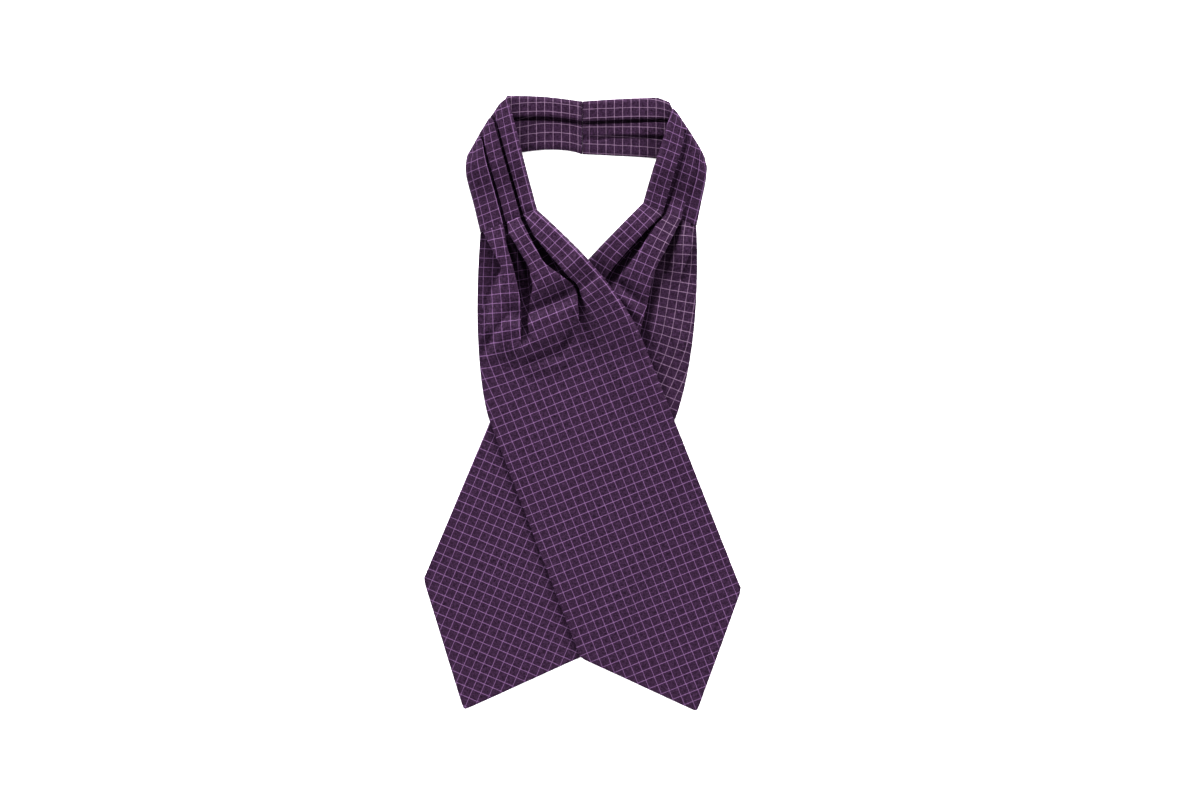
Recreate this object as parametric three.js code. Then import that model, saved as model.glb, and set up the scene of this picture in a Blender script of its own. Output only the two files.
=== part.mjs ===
// Silk day cravat laid flat: a pleated neckband looped round, and two pointed blades that cross below it.
// Millimetres, +Z up. +Y points to the nape, it rests on z = 0 and the origin is under its middle.
import * as THREE from "three";

const { lerp, clamp, smoothstep, degToRad } = THREE.MathUtils;

// Cloth
const WALL = 1.2; // two layers of silk with their edges turned in
const GAP = 0.3; // between pieces that are sewn together or lie on each other
const STEP_FOLD = 2.4; // a pleat lower than this is only a step
const LAPPED_FOLD = 4.4; // a pleat higher than this laps right back under its crest
const LAP = 2.4; // how far the lapped cloth runs back
const LAPPED_SHAPE = [0, 0, 0, -LAP, -LAP, -LAP]; // across, from the crest down to the next face
const LAPPED_TURNS = [0, 1, 0, 0, -1, 0]; // and the turns out and in, in quarters of the height
const LAPPED_HEIGHTS = [1, 0.75, 0.5, 0.46, 0.23, 0];
const STEP_SHAPE = [0, 0.5, 1, 1.5, 2, 2.5];
const STEP_HEIGHTS = [1, 0.9, 0.65, 0.35, 0.1, 0];
const SHORTEST_SHOULDER = 2.5; // of the slope up to a raised strip
const FOOT_LIMIT = 0.4; // the furthest that a slope starts, as a share of the face
const HEAD_LIMIT = 0.6; // and ends, as a share of what is left
const EDGE_ROLL = 5; // width over which a raised strip falls to the cloth's edge
const EDGE_STEPS = [0.35, 0.7];
const BAND_PLEAT = 3.4; // height of the pressed pleats in the neckband
const BAND_HEIGHTS = [BAND_PLEAT, BAND_PLEAT, 2.4, 1.2, 0]; // from the blade up to the diagonal fold
const NAPE_PLEAT = 3.2; // height of the pressed pleats behind the neck
const NAPE_HEIGHTS = [NAPE_PLEAT, NAPE_PLEAT, 2.2]; // from the centre seam out to the diagonal fold
const SILK = { color: 0x3d2544, roughness: 0.55, metalness: 0 };

// Where the blades are laid: the end that is sewn to the band, the lean from -Y, and the length to the tip.
// An edge runs from its place at the band to its spread at the release, then straight on to its corner.
const OVER = {
  sewn: new THREE.Vector2(-69.8, 155.5),
  leanDeg: 21.8,
  tip: 455,
  left: { band: -19.8, spread: -72.9, release: 154, ease: 1.42, corner: -76.2, length: 374 },
  right: { band: 32.7, spread: 75.4, release: 135, ease: 1.6, corner: 74.9, length: 371 },
};
const UNDER = {
  sewn: new THREE.Vector2(80.3, 161.8),
  leanDeg: -23.2,
  tip: 465,
  left: { band: -30, spread: -77.6, release: 150, ease: 1.3, corner: -76.6, length: 374.5 },
  right: { band: 19.7, spread: 69, release: 166, ease: 1.62, corner: 76.5, length: 381 },
};

// Pleats, from left to right. Crest offsets and heights are given at equal steps from the band to the end;
// top is the raised strip beside the crest at the band and at the end, and shoulder is the slope up to it.
const OVER_PLEATS = [
  {
    length: 104, top: [15, 2], shoulder: 6,
    crest: [0, -4.4, -6.5, -9.8, -16, -25], height: [3.4, 5, 5.4, 5.2, 4.6, 0],
  },
  {
    length: 104, top: [13, 5], shoulder: 7,
    crest: [15.7, 17, 21, 33.5, 37, 29], height: [3.4, 4, 2.6, 2.4, 3, 0],
  },
];
const UNDER_PLEATS = [
  {
    length: 108, top: [13, 16], shoulder: 5,
    crest: [-12.7, -20, -28.4, -33, -38, -42], height: [3.4, 4.6, 4.4, 3.4, 1.2, 0],
  },
  {
    length: 130, top: [12, 7], shoulder: 7,
    crest: [4.2, 1.9, 1, 4.4, 7, 18], height: [3.4, 4.8, 5, 4.6, 3.2, 0],
  },
  {
    length: 58, top: [4, 3], shoulder: 4,
    crest: [12.5, 18.5, 21, 22.6, 25, 28], height: [0.8, 2.6, 2.8, 2.4, 1.4, 0],
  },
];
// The raised strip along a blade's right edge: its length, its widths at the band and the end, its heights.
const OVER_STRIP = { length: 128, width: [16.5, 25.5], height: [3.4, 4.4, 4.4, 3.6, 2.2, 0], shoulder: 6 };
const UNDER_STRIP = { length: 30, width: [1.5, 6], height: [0, 0], shoulder: 1 };

// Soft swells and hollows where the pleats run out: a line on the blade, its height and its reach.
const OVER_SWELLS = [
  { from: [73, -26], to: [103, -57], height: -1.2, reach: 5 },
  { from: [73, 0], to: [71, 18], height: -1.6, reach: 5 },
  { from: [97, -14], to: [86, 30], height: 2.6, reach: 7 },
];
const UNDER_SWELLS = [{ from: [84, 24], to: [104, 60], height: 1.4, reach: 12 }];

// The corner of a blade's sewn end at one edge, where the band's rail starts.
function sewnEnd(blade, edge) {
  return bladeAxes(blade).place(0, edge.band).toArray();
}

// The stretches of the neckband lie between two rails, each a smooth line through a few places. Those in
// front run up from the blades, and those at the nape out from the centre seam. A crest is a share across.
const OVER_BAND = {
  left: [sewnEnd(OVER, OVER.left), [-93.9, 172], [-100.2, 197], [-98.6, 207]],
  right: [sewnEnd(OVER, OVER.right), [-48, 199.5], [-57, 233], [-63.4, 268.4]],
  foldBow: 1.6,
  pleats: [
    { crest: [0.37, 0.36], height: BAND_HEIGHTS },
    { crest: [0.68, 0.65], height: BAND_HEIGHTS },
  ],
};
const UNDER_BAND = {
  left: [sewnEnd(UNDER, UNDER.left), [59, 202], [66, 233], [71.6, 265.4]],
  right: [sewnEnd(UNDER, UNDER.right), [103, 176], [106.8, 196], [105.6, 206]],
  foldBow: 1.2,
  pleats: [
    { crest: [0.35, 0.36], height: BAND_HEIGHTS },
    { crest: [0.69, 0.7], height: [BAND_PLEAT, 1, 0.3, 0] },
  ],
};
const LEFT_NAPE = {
  left: [[-0.15, 261.6], [-32, 265.4], [-64.2, 267.2]],
  right: [[-0.15, 216.4], [-12, 219.4], [-34, 220.2], [-64, 216.4], [-99.3, 209]],
  pleats: [{ crest: [0.35, 0.34], height: NAPE_HEIGHTS }],
};
const RIGHT_NAPE = {
  left: [[0.15, 261.6], [38, 264.2], [72.4, 264.6]],
  right: [[0.15, 216.4], [30, 215], [62.9, 213], [106.5, 207]],
  pleats: [
    { crest: [0.35, 0.36], height: NAPE_HEIGHTS },
    { crest: [0.62, 0.6], height: [0.3, 1.8, 2] },
  ],
};

// Laying
const BAND_LIFT = NAPE_PLEAT + WALL + GAP; // the band's top folds over the stretch at the nape
const BAND_RAMP = 34; // length over which the band climbs to it
const CROSSING_RAMP = 30; // width over which the upper blade comes down beside the lower one
const CROSSING_MARGIN = 9; // the upper blade keeps its full height this far past the lower one
const NAPE_MARGIN = 5; // and the band this far past the stretch at the nape
const POINT_SLANT = 1.5; // the way to a blade's pointed end along the axis, against the way square to it
const STRETCH_STRIP = 12; // raised strip beside a crest in the neckband
const STRETCH_SHOULDER = 5;
const FOLD_RADIUS = 2.2; // of the diagonal folds between the band and the nape
const FOLD_TURN = Math.PI * 0.8;
const FOLD_INSET = 5.6; // the band's rows stop this far short of the diagonal fold, for the roll
const NAPE_END = 0.93; // share of its rails at which the stretch at the nape ends, inside the fold
const RAIL_SAMPLES = 24;

// Spacing of the mesh
const FAN_STEP = 7.5;
const FAN_END = 156;
const OVER_FLAT_STEPS = 10;
const UNDER_FLAT_STEPS = 4;
const BAND_STEPS = 7;
const FOLD_STEPS = 4;
const NAPE_STEPS = 7;

function evenly(steps, from, to) {
  return Array.from({ length: steps + 1 }, (_, i) => lerp(from, to, i / steps));
}

// A smooth value through a list of values at equal steps from share 0 to share 1.
function along(values, share) {
  const points = values.map((value, i) => new THREE.Vector2(i, value));
  return new THREE.SplineCurve(points).getPoint(clamp(share, 0, 1)).y;
}

function rail(places) {
  return new THREE.SplineCurve(places.map(([x, y]) => new THREE.Vector2(x, y)));
}

// A crest's place, height and raised strip at a distance from the band.
function pleatAt(pleat, distance) {
  const share = distance / pleat.length;
  return {
    crest: along(pleat.crest, share),
    height: share <= 1 ? Math.max(0, along(pleat.height, share)) : 0,
    top: lerp(...pleat.top, clamp(share, 0, 1)),
    shoulder: pleat.shoulder,
  };
}

// The lap after a crest: over the crest, back under it and forward again, or a plain step where it is low.
function lapPoints({ crest, height }) {
  const lapped = smoothstep(height, STEP_FOLD, LAPPED_FOLD);
  const turn = height / 4;
  return STEP_SHAPE.map((step, i) => [
    crest + lerp(step, LAPPED_SHAPE[i] + LAPPED_TURNS[i] * turn, lapped),
    height * lerp(STEP_HEIGHTS[i], LAPPED_HEIGHTS[i], lapped),
  ]);
}

// The face from a starting place up its shoulder to the head of a raised strip, short of its far side.
function facePoints(start, clear, head, far, shoulder, height) {
  const foot = Math.min(Math.max(head - shoulder, clear), lerp(start, far, FOOT_LIMIT));
  const top = Math.min(Math.max(head, foot + SHORTEST_SHOULDER), lerp(foot, far, HEAD_LIMIT));
  const places = [start, lerp(start, foot, 0.5), ...evenly(3, foot, top)];
  return places.map((place) => [place, height * smoothstep(place, foot, top)]);
}

// One cross-section as [across, height] pairs: a face, crest and lap for each pleat, then the edge strip.
function section(cloth, distance) {
  const [left, right] = cloth.edges(distance);
  const points = [];
  let start = left;
  let clear = left + WALL;
  for (const pleat of cloth.pleats) {
    const now = pleatAt(pleat, distance);
    const face = facePoints(start, clear, now.crest - now.top, now.crest, now.shoulder, now.height);
    const lap = lapPoints(now);
    points.push(...face.slice(start === left ? 0 : 1));
    points.push(...lap);
    start = lap.at(-1)[0];
    clear = Math.max(start, now.crest + now.height / 4) + LAP;
  }
  return [...points, ...stripPoints(cloth.strip, distance, start, clear, right)];
}

// The strip along the right edge: up its shoulder, level, then rolling down to the edge itself.
function stripPoints(strip, distance, start, clear, right) {
  const share = distance / strip.length;
  const height = share <= 1 ? along(strip.height, share) : 0;
  const head = right - lerp(...strip.width, clamp(share, 0, 1));
  const face = facePoints(start, clear, head, right, strip.shoulder, height).slice(1);
  const top = face.at(-1)[0];
  const roll = Math.max(right - EDGE_ROLL, lerp(top, right, FOOT_LIMIT));
  const falling = EDGE_STEPS.map((step) => [lerp(roll, right, step), height * (1 - step ** 2)]);
  return [...face, [lerp(top, roll, 0.5), height], [roll, height], ...falling, [right, 0]];
}

// A closed wall round a grid of middle points, each moved out along the surface normal to either side.
function wallGeometry(grid) {
  const rows = grid.length;
  const columns = grid[0].length;
  const near = (i, j) => grid[clamp(i, 0, rows - 1)][clamp(j, 0, columns - 1)];
  const positions = [];
  for (const side of [0.5, -0.5]) {
    grid.forEach((row, i) => row.forEach((point, j) => {
      const lengthwise = near(i + 1, j).clone().sub(near(i - 1, j));
      const across = near(i, j + 1).clone().sub(near(i, j - 1));
      const normal = across.cross(lengthwise).normalize().negate();
      const moved = point.clone().addScaledVector(normal, side * WALL);
      positions.push(moved.x, moved.y, Math.max(0, moved.z));
    }));
  }
  const top = (i, j) => i * columns + j;
  const bottom = (i, j) => rows * columns + top(i, j);
  const faces = [];
  const quad = (a, b, c, d) => faces.push(a, b, c, a, c, d);
  for (let i = 0; i + 1 < rows; i++) {
    for (let j = 0; j + 1 < columns; j++) {
      const corners = [[i, j], [i + 1, j], [i + 1, j + 1], [i, j + 1]];
      const [a, b, c, d] = corners.map(([row, column]) => grid[row][column]);
      // A sheared cell is cut along its shorter diagonal.
      if (b.distanceTo(d) < a.distanceTo(c)) corners.push(corners.shift());
      quad(...corners.map((corner) => top(...corner)));
      quad(...corners.map((corner) => bottom(...corner)).reverse());
    }
    quad(top(i, 0), bottom(i, 0), bottom(i + 1, 0), top(i + 1, 0));
    quad(top(i, columns - 1), top(i + 1, columns - 1), bottom(i + 1, columns - 1), bottom(i, columns - 1));
  }
  for (let j = 0; j + 1 < columns; j++) {
    quad(top(0, j), top(0, j + 1), bottom(0, j + 1), bottom(0, j));
    quad(top(rows - 1, j), bottom(rows - 1, j), bottom(rows - 1, j + 1), top(rows - 1, j + 1));
  }
  const geometry = new THREE.BufferGeometry();
  geometry.setAttribute("position", new THREE.Float32BufferAttribute(positions, 3));
  geometry.setIndex(faces);
  geometry.computeVertexNormals();
  return geometry;
}

// A blade's own axes: distance from the band and offset across, to and from places on the floor.
function bladeAxes(blade) {
  const lean = degToRad(blade.leanDeg);
  const down = new THREE.Vector2(Math.sin(lean), -Math.cos(lean));
  const across = new THREE.Vector2(Math.cos(lean), Math.sin(lean));
  return {
    place: (distance, offset) =>
      blade.sewn.clone().addScaledVector(down, distance).addScaledVector(across, offset),
    read: (place) => {
      const away = place.clone().sub(blade.sewn);
      return [away.dot(down), away.dot(across)];
    },
  };
}

// How far a blade's edge is from its axis.
function bladeEdge(edge, distance) {
  const fan = 1 - (1 - clamp(distance / edge.release, 0, 1)) ** edge.ease;
  const flare = clamp((distance - edge.release) / (edge.length - edge.release), 0, 1);
  return lerp(lerp(edge.band, edge.spread, fan), edge.corner, flare);
}

// The distance at which the pointed end cuts a line at this offset from the axis.
function bladeEnd(blade, offset) {
  const { corner, length } = offset < 0 ? blade.left : blade.right;
  return lerp(blade.tip, length, clamp(offset / corner, 0, 1));
}

// Height of the soft swells at a place on a blade.
function swell(swells, distance, offset) {
  const place = new THREE.Vector3(distance, offset, 0);
  return swells.reduce((sum, { from, to, height, reach }) => {
    const line = new THREE.Line3(new THREE.Vector3(...from, 0), new THREE.Vector3(...to, 0));
    const away = line.closestPointToPoint(place, true, new THREE.Vector3()).distanceTo(place);
    return sum + height * Math.exp(-((away / reach) ** 2));
  }, 0);
}

// A blade's middle surface: rows straight across the fan, then easing into the pointed end.
function bladeGrid(cloth, flatSteps, lift) {
  const { blade, axes, swells } = cloth;
  const rows = [];
  const addRow = (distance, toEnd) => {
    const points = section(cloth, distance);
    const middle = (points.length - 1) / 2;
    rows.push(points.map(([pleated, height], i) => {
      const even = (i < middle ? blade.left.corner : blade.right.corner) * Math.abs(i / middle - 1);
      const offset = lerp(pleated, even, toEnd);
      const reached = lerp(distance, bladeEnd(blade, offset), toEnd);
      const place = axes.place(reached, offset);
      const floor = WALL / 2 + lift(place);
      const relief = Math.max(0, height + swell(swells, reached, offset));
      return new THREE.Vector3(place.x, place.y, floor + relief);
    }));
  };
  for (let distance = GAP; distance < FAN_END; distance += FAN_STEP) addRow(distance, 0);
  evenly(flatSteps, 0, 1).forEach((toEnd) => addRow(FAN_END, toEnd));
  return rows;
}

// A blade as cloth: its edges, pleats, edge strip and swells.
function bladeCloth(blade, pleats, strip, swells) {
  return {
    blade, pleats, strip, swells,
    axes: bladeAxes(blade),
    edges: (distance) => [bladeEdge(blade.left, distance), bladeEdge(blade.right, distance)],
  };
}

// How high the upper blade has to lie at a place, to clear the lower blade and its pleats.
function liftOver(cloth) {
  const { blade, axes, pleats } = cloth;
  return (place) => {
    const [distance, offset] = axes.read(place);
    const [left, right] = cloth.edges(distance);
    const beforeEnd = (bladeEnd(blade, offset) - distance) / POINT_SLANT;
    const inside = Math.min(offset - left, right - offset, beforeEnd, distance + BAND_RAMP);
    const pleated = Math.max(...pleats.map((pleat) => pleatAt(pleat, Math.max(distance, 0)).height));
    return (WALL + GAP + pleated) * smoothstep(inside, -CROSSING_MARGIN - CROSSING_RAMP, -CROSSING_MARGIN);
  };
}

// A stretch between two rails: pleats at shares of the width, over a base height.
function stretchGrid(stretch, shares, lift) {
  const left = rail(stretch.left);
  const right = rail(stretch.right);
  return shares.map((share) => {
    const [from, to] = [left.getPoint(share), right.getPoint(share)];
    const width = from.distanceTo(to);
    const strip = { length: 1, width: [STRETCH_STRIP, STRETCH_STRIP], shoulder: STRETCH_SHOULDER };
    const cloth = {
      edges: () => [0, width],
      pleats: stretch.pleats.map(({ crest, height }) => ({
        ...strip, top: strip.width, height, crest: crest.map((part) => part * width),
      })),
      strip: { ...strip, height: stretch.pleats[0].height },
    };
    return section(cloth, share).map(([offset, height]) => {
      const place = from.clone().lerp(to, offset / width);
      return new THREE.Vector3(place.x, place.y, WALL / 2 + lift(place) + height);
    });
  });
}

// The climb of a band onto the stretch at the nape, measured from that stretch's lower edge.
function liftOnto(nape) {
  const lower = rail(nape.right).getPoints(RAIL_SAMPLES);
  return (place) => {
    const nearest = lower.reduce((a, b) => (a.distanceTo(place) < b.distanceTo(place) ? a : b));
    const outside = nearest.y - place.y > 0 ? nearest.distanceTo(place) : 0;
    return BAND_LIFT * smoothstep(BAND_RAMP - outside, 0, BAND_RAMP - NAPE_MARGIN);
  };
}

// The band's rows bow out to the diagonal fold, and its last ones roll down over it.
function rollOver(grid, bow) {
  const last = grid.at(-1);
  const line = last.at(-1).clone().sub(last[0]).setZ(0).normalize();
  const away = new THREE.Vector3(-line.y, line.x, 0);
  grid.forEach((row, i) => row.forEach((point, j) => {
    const part = j / (row.length - 1);
    point.addScaledVector(away, bow * 4 * part * (1 - part) * (i / (grid.length - 1)) ** 2);
  }));
  const rolled = evenly(FOLD_STEPS, 0, FOLD_TURN).slice(1).map((angle) => last.map((point) => {
    const radius = Math.min(FOLD_RADIUS, (point.z - WALL / 2) / (1 - Math.cos(FOLD_TURN)));
    const down = radius * (1 - Math.cos(angle));
    return point.clone().addScaledVector(away, radius * Math.sin(angle)).setZ(point.z - down);
  }));
  return [...grid, ...rolled];
}

function bandGrid(band, nape) {
  const longest = Math.max(rail(band.left).getLength(), rail(band.right).getLength());
  const end = 1 - FOLD_INSET / longest;
  return rollOver(stretchGrid(band, evenly(BAND_STEPS, 0, end), liftOnto(nape)), band.foldBow);
}

function napeGrid(nape) {
  return stretchGrid(nape, evenly(NAPE_STEPS, 0, NAPE_END), () => 0);
}

function piece(name, grid) {
  const mesh = new THREE.Mesh(wallGeometry(grid), new THREE.MeshStandardMaterial(SILK));
  mesh.name = name;
  return mesh;
}

const overCloth = bladeCloth(OVER, OVER_PLEATS, OVER_STRIP, OVER_SWELLS);
const underCloth = bladeCloth(UNDER, UNDER_PLEATS, UNDER_STRIP, UNDER_SWELLS);

const cravat = new THREE.Group();
cravat.add(
  piece("under_blade", bladeGrid(underCloth, UNDER_FLAT_STEPS, () => 0)),
  piece("over_blade", bladeGrid(overCloth, OVER_FLAT_STEPS, liftOver(underCloth))),
  piece("over_band", bandGrid(OVER_BAND, LEFT_NAPE)),
  piece("under_band", bandGrid(UNDER_BAND, RIGHT_NAPE)),
  piece("left_nape", napeGrid(LEFT_NAPE)),
  piece("right_nape", napeGrid(RIGHT_NAPE)),
);

export default cravat;
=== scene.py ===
"""A silk day cravat laid flat: its cloth, woven check, light and camera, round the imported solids."""

import math
from functools import partial

import bpy
import numpy as np
from mathutils import Color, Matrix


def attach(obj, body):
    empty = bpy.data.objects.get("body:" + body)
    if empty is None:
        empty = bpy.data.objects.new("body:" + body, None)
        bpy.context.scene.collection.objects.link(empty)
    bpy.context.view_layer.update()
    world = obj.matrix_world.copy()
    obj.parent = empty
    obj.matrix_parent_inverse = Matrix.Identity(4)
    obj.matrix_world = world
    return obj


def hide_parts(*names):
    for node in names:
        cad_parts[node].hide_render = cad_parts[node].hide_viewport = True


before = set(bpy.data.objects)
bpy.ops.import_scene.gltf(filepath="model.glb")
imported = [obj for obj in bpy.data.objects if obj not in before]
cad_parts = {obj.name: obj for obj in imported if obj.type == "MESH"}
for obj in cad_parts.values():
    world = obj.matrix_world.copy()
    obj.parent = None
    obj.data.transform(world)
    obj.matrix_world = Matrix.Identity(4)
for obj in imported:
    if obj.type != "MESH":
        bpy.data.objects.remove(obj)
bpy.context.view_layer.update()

# Sizes are in millimetres, read from the photograph or guessed, and meshes are made in metres
MM = 0.001
WALL = 0.7
SEAM_GAP = 0.05

# Folds: a crest laps over the next strip by LAP, and a slit of GROOVE stays open beside it
STEP_FOLD = 1.6
LAPPED_FOLD = 3.2
LAP = 3.2
LAP_BULGE = 1.3
BULGE_SHARE = 0.25
GROOVE = 2.6
TUCK = 0.6
LAPPED_SHAPE = [0, 0, 0, -LAP, -LAP, -LAP]
LAPPED_TURNS = [0, 1, 0, 0, -1, 0]
LAPPED_HEIGHTS = [1, 0.78, 0.5, 0.44, 0.2, 0]
STEP_SHAPE = [0, 0.5, 1, 1.5, 2, 2.5]
STEP_HEIGHTS = [1, 0.9, 0.65, 0.35, 0.1, 0]
SHORTEST_SHOULDER = 2.0
LOWEST_RISE = 0.001
FOOT_LIMIT = 0.4
HEAD_LIMIT = 0.6
EDGE_ROLL = 4.0
TACK_REACH = 5
STRETCH_SHOULDER = 3
WHOLE_STRIP = 1000
BAND_PLEAT = 5.0
BAND_HEIGHTS = [BAND_PLEAT, BAND_PLEAT, BAND_PLEAT, BAND_PLEAT, 4.6, 2.4]
NAPE_PLEAT = 4.4
NAPE_HEIGHTS = [NAPE_PLEAT, NAPE_PLEAT, 3.4]

# Columns of each run across a pleat, rows along a piece, and places along a line
LOW_COLUMNS = 12
SLOPE_COLUMNS = 14
LEVEL_COLUMNS = 12
LAP_COLUMNS = 18
ROLL_COLUMNS = 6
FAN_STEP = 1.5
FAN_END = 156
FAN = np.linspace(0, FAN_END, FAN_END + 1)
FLAT_ROWS = 90
STRETCH_STEP = 1.5
NAPE_ROWS = 70
FOLD_ROWS = 10
RIM_LOOPS = 3
RAIL_SAMPLES = 101
CREASE_SAMPLES = 25

# Blades: the sewn end, the lean from -Y, the length to the tip and the two edges
OVER = {
    "sewn": (-69.8, 155.5), "lean": 21.8, "tip": 455,
    "left": {"band": -19.8, "spread": -72.9, "release": 154, "ease": 1.42, "corner": -76.2, "length": 374},
    "right": {"band": 32.7, "spread": 75.4, "release": 135, "ease": 1.6, "corner": 74.9, "length": 371},
}
UNDER = {
    "sewn": (80.3, 161.8), "lean": -23.2, "tip": 465,
    "left": {"band": -30, "spread": -77.6, "release": 150, "ease": 1.3, "corner": -76.6, "length": 374.5},
    "right": {"band": 19.7, "spread": 69, "release": 166, "ease": 1.62, "corner": 76.5, "length": 381},
}
TIP_ROUND = 0.018
CORNER_CUT = 0.02
CORNER_START = 0.96

# Pleats from left to right, with their values at equal steps from the band to the pleat's end
OVER_PLEATS = [
    {"length": 108, "tuck": (30, 48), "with_gore": True,
     "crest": [-0.5, -4.3, -5.9, -8.6, -12.7, -19.6, -26.5],
     "height": [BAND_PLEAT, 9, 10.5, 11, 10.5, 9.5, 0],
     "head": [-16.5, -15.2, -13.2, -16, -25, -32, -40],
     "shoulder": [2.5, 3, 4, 20, 24, 20, 16],
     "threads": [0, -3, -7.5, -12.7, -18.4, -24, -29]},
    {"length": 120, "tuck": (40, 58), "tack": 0.15,
     "crest": [15.3, 16.4, 18, 20.2, 29, 37.2, 33.5, 29, 24],
     "height": [BAND_PLEAT, 9, 10, 11, 11, 10.5, 9.8, 1, 0],
     "head": [1, 4.3, 6.6, 8.8, 8.5, -1, -8, -12, -16],
     "shoulder": [2.5, 3, 3.5, 4, 6, 7, 6, 6, 6],
     "threads": [12, 13.8, 16.3, 18.9, 20.8, 21.8, 22.3, 22.6, 22.8]},
]
OVER_STRIP = {"length": 156, "tuck": (56, 84), "tack": 0.35,
              "width": [17, 21.8, 23, 26, 27.5], "shoulder": (3, 14),
              "height": [BAND_PLEAT, 9.5, 10, 7, 5, 4, 3]}
UNDER_PLEATS = [
    {"length": 108, "tack": 0.15,
     "crest": [-12, -20, -27.6, -34.2, -38, -42],
     "height": [BAND_PLEAT, 9.5, 9.5, 7, 2, 0],
     "head": [-27.7, -35.5, -44.2, -49.5, -55, -59],
     "shoulder": (3, 6),
     "threads": [-12.7, -20, -28, -35, -40, -44]},
    {"length": 130,
     "crest": [4, 2.7, 0.9, 5.7, 10, 18],
     "height": [BAND_PLEAT, 10, 10.5, 8, 5, 0],
     "head": [-10, -11, -14.5, -21, -28, -32],
     "shoulder": [3, 8, 11, 11, 10, 8],
     "threads": [4.2, 1.9, 1, 2, 4, 6]},
    {"length": 58,
     "crest": [13.5, 20.2, 22.4, 22.8, 23.8, 26],
     "height": [0.8, 4, 6, 5, 2.4, 0],
     "head": [7.5, 11, 13, 14, 17, 22],
     "shoulder": (3, 6)},
]
UNDER_STRIP = {"length": 30, "width": [1.5, 6], "shoulder": (1, 1), "height": [0, 0]}
UNDER_GORE = {"length": 156, "threads": [12, 25, 34.5, 42, 47]}

# Creases on the blades: the line they follow as (along, across), height or depth, and reach to either side
OVER_CREASES = [
    {"line": [(45, -40), (75, -47), (110, -52)], "height": 1.2, "reach": 13},
    {"line": [(8, 1), (30, 1.4), (58, -1)], "height": 4.0, "reach": 3.2},
    {"line": [(62, -17), (73, -25), (83, -38), (92, -50), (100, -60)], "height": -3.4, "reach": 3.4},
    {"line": [(79, -26), (78, 8), (75, 44)], "height": -8.8, "reach": 9},
    {"line": [(106, -46), (106, -18), (105, 8), (99, 32)], "height": 7.5, "reach": 8},
    {"line": [(97, 31), (109, 17), (120, 6), (118, -8), (119, -18), (116, -32)],
     "height": -3.6, "reach": 3.4},
    {"line": [(108, 34), (120, 20), (130, 6), (128, -12), (125, -32)], "height": 3.0, "reach": 5.5},
    {"line": [(130, -25), (150, -27), (172, -29)], "height": -0.7, "reach": 1.6},
]
UNDER_CREASES = [
    {"line": [(45, 28), (85, 34), (130, 40)], "height": 2.2, "reach": 14},
    {"line": [(48, 13), (70, 15), (90, 18.5), (112, 24)], "height": 3.2, "reach": 6},
    {"line": [(84, 24), (94, 42), (104, 60)], "height": 1.2, "reach": 9},
    {"line": [(71, -28), (76, -8), (81, 8)], "height": -3.2, "reach": 4.5},
    {"line": [(82, -22), (87, -6), (93, 10)], "height": 1.6, "reach": 4},
    {"line": [(1, 6.5), (14, 8), (27, 9.5)], "height": 0.9, "reach": 1.7},
    {"line": [(1, 10), (14, 12.5), (28, 15)], "height": 0.9, "reach": 1.7},
    {"line": [(1, 13.5), (13, 16.5), (26, 19.5)], "height": 0.9, "reach": 1.7},
    {"line": [(2, 17), (12, 20.5), (22, 24)], "height": 0.9, "reach": 1.7},
]
CREASE_FADE = (-0.02, 0.25)

# Neckband: stretches between two rails, with each crest at a share of the way across
BAND_CLOSE = 1.06
NAPE_CLOSE = 1.12
OVER_BAND = {
    "left": [(-93.9, 172), (-100.2, 197), (-98.6, 207)],
    "right": [(-48, 199.5), (-56.4, 233), (-65.4, 268.6)],
    "fold_bow": 1.6,
    "top_end": -1,
    "top_round": 2.2,
    "threads_close": BAND_CLOSE,
    "last_strip": BAND_HEIGHTS,
    "last_tack": 0.35,
    "pleats": [
        {"crest": [0.37, 0.36], "height": BAND_HEIGHTS},
        {"crest": [0.68, 0.65], "height": BAND_HEIGHTS, "tack": 0.15},
    ],
}
UNDER_BAND = {
    "left": [(61.6, 204), (70.6, 231), (76.4, 258)],
    "right": [(103, 176), (106.8, 196), (105.6, 206)],
    "fold_bow": 1.2,
    "top_end": 0,
    "top_round": 0.6,
    "threads_close": BAND_CLOSE,
    "last_strip": [0.8, 1.4, 1.6, 1.4, 1, 0],
    "last_tack": 0,
    "pleats": [
        {"crest": [0.35, 0.36], "height": BAND_HEIGHTS, "tack": 0.15},
        {"crest": [0.69, 0.7], "height": [BAND_PLEAT, 0.9, 0.6, 0.5, 0.4, 0], "joins": True},
    ],
}
LEFT_NAPE = {
    "left": [(-0.15, 261.6), (-33.5, 265.6), (-68, 266.8)],
    "right": [(-0.15, 216.4), (-12, 219.4), (-34, 220.2), (-64, 216.4), (-99.3, 209)],
    "starts": [(3, -3.7), (30, -3.7)],
    "threads_close": NAPE_CLOSE,
    "last_strip": [1.6, 1.6],
    "last_tack": 0,
    "pleats": [{"crest": [0.35, 0.34], "height": NAPE_HEIGHTS}],
}
RIGHT_NAPE = {
    "left": [(0.15, 261.6), (13.8, 262.6), (27.5, 263.5), (41.2, 264.2), (53, 264.6), (65.2, 264.6),
             (80.6, 258.6)],
    "right": [(0.15, 216.4), (30, 215), (62.9, 213), (106.5, 207)],
    "starts": [(1, 6.5), (29, 6.5), (55, 6.5)],
    "threads_close": NAPE_CLOSE,
    "last_strip": [1.2, 1],
    "last_tack": 0,
    "pleats": [
        {"crest": [0.35, 0.32], "height": [NAPE_PLEAT, NAPE_PLEAT, 2.4]},
        {"crest": [0.62, 0.6], "height": [1.4, 2.6, 2.4]},
    ],
}

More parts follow.
